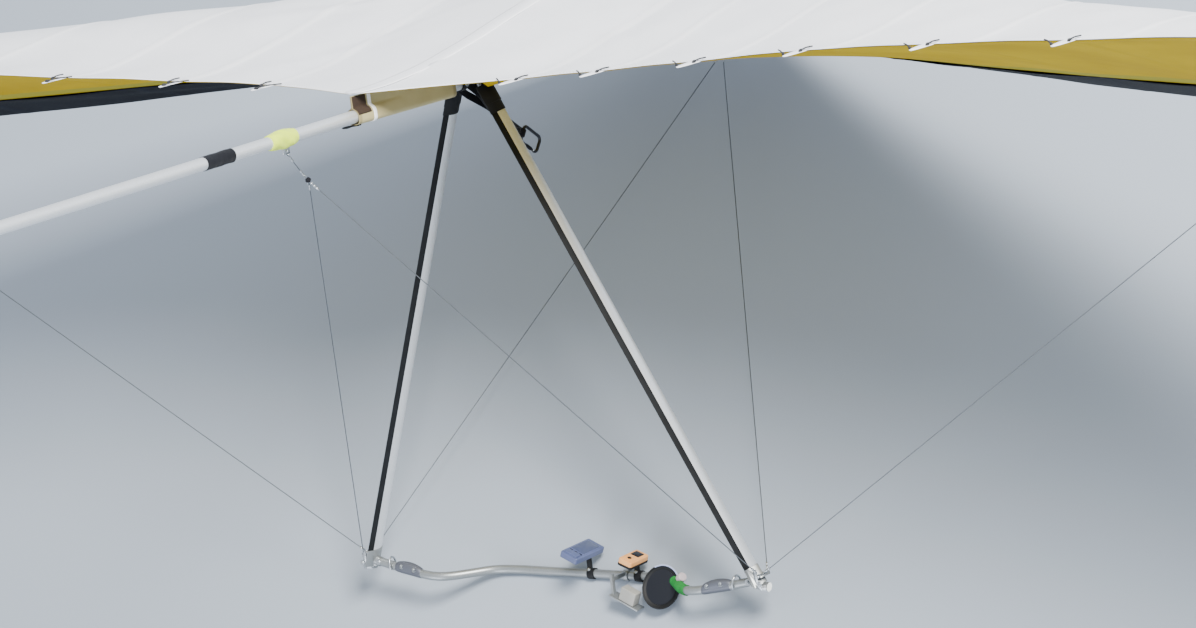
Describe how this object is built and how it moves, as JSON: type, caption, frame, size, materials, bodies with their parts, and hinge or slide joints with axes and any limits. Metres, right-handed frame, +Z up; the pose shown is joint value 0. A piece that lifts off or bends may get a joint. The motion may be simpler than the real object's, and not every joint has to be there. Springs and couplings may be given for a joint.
{
  "type": "hang glider",
  "caption": "Foot-launched flex-wing hang glider without a king post: swept double-surface sail, keel, wire-braced control frame and swinging hang strap.",
  "frame": {"origin": "on the floor, in the middle of the bounding box's base, midway between the wing tips", "axes": "+X towards the pilot's left wing tip, -Y towards the nose, +Z up; the glider stands nose down on its nose plate and base bar"},
  "size_m": [10.173, 2.246, 2.964],
  "materials": {
    "alloy": "clear anodised tube",
    "steel": "stainless cable and fittings",
    "black_alloy": "black anodised",
    "black_plastic": "moulded, matt",
    "sail_cloth": "white woven polyester sailcloth, light sheen",
    "under_cloth": "mustard yellow sailcloth",
    "edge_cloth": "black leading edge cloth",
    "pocket_cloth": "tan cloth",
    "webbing": "black woven webbing",
    "bright_wrap": "fluorescent yellow-green cloth tape",
    "green_tape": "green grip tape",
    "grey_plastic": "blue-grey housing",
    "orange_plastic": "orange housing"
  },
  "bodies": {
    "root": {"sail_left": "sail_cloth", "sail_right": "sail_cloth", "nose_plate": "alloy", "nose_cone": "sail_cloth", "keel_tube": "alloy", "keel_end_cap": "black_plastic", "keel_band": "black_plastic", "keel_wrap": "bright_wrap", "keel_wire_anchor": "steel", "keel_pocket": "pocket_cloth", "apex_bracket": "black_alloy", "downtube_knuckle_left": "black_alloy", "downtube_knuckle_right": "black_alloy", "downtube_left": "alloy", "downtube_right": "alloy", "downtube_fairing_left": "black_plastic", "downtube_fairing_right": "black_plastic", "corner_bracket_left": "alloy", "corner_bracket_right": "alloy", "leading_edge_end_left": "alloy", "leading_edge_end_right": "alloy", "base_bar": "alloy", "green_grip": "green_tape", "display_clamp": "black_plastic", "display_box": "grey_plastic", "logger_clamp": "black_plastic", "logger_unit": "orange_plastic", "instrument_pod": "black_plastic", "shelf_box": "grey_plastic", "pod_bracket": "alloy", "front_wire_junction": "black_alloy", "rear_wire_junction": "black_alloy", "nose_leader": "steel", "keel_leader": "steel", "front_wire_left": "steel", "front_wire_right": "steel", "rear_wire_left": "steel", "rear_wire_right": "steel", "side_wire_left": "steel", "side_wire_right": "steel", "side_wire_anchor_left": "steel", "side_wire_anchor_right": "steel", "strap_saddle": "webbing"},
    "strap": {"hang_strap": "webbing"},
    "carabiner": {"carabiner": "steel"}
  },
  "joints": [
    {"name": "strap_swing", "type": "hinge", "parent": "root", "child": "strap", "pos_m": [0, -0.21026, 1.21904], "axis": [1, 0, 0], "range_deg": [-7, 82]},
    {"name": "carabiner_swing", "type": "hinge", "parent": "strap", "child": "carabiner", "pos_m": [0, -0.21026, 0.88004], "axis": [0, 1, 0], "range_deg": [-60, 60]}
  ]
}
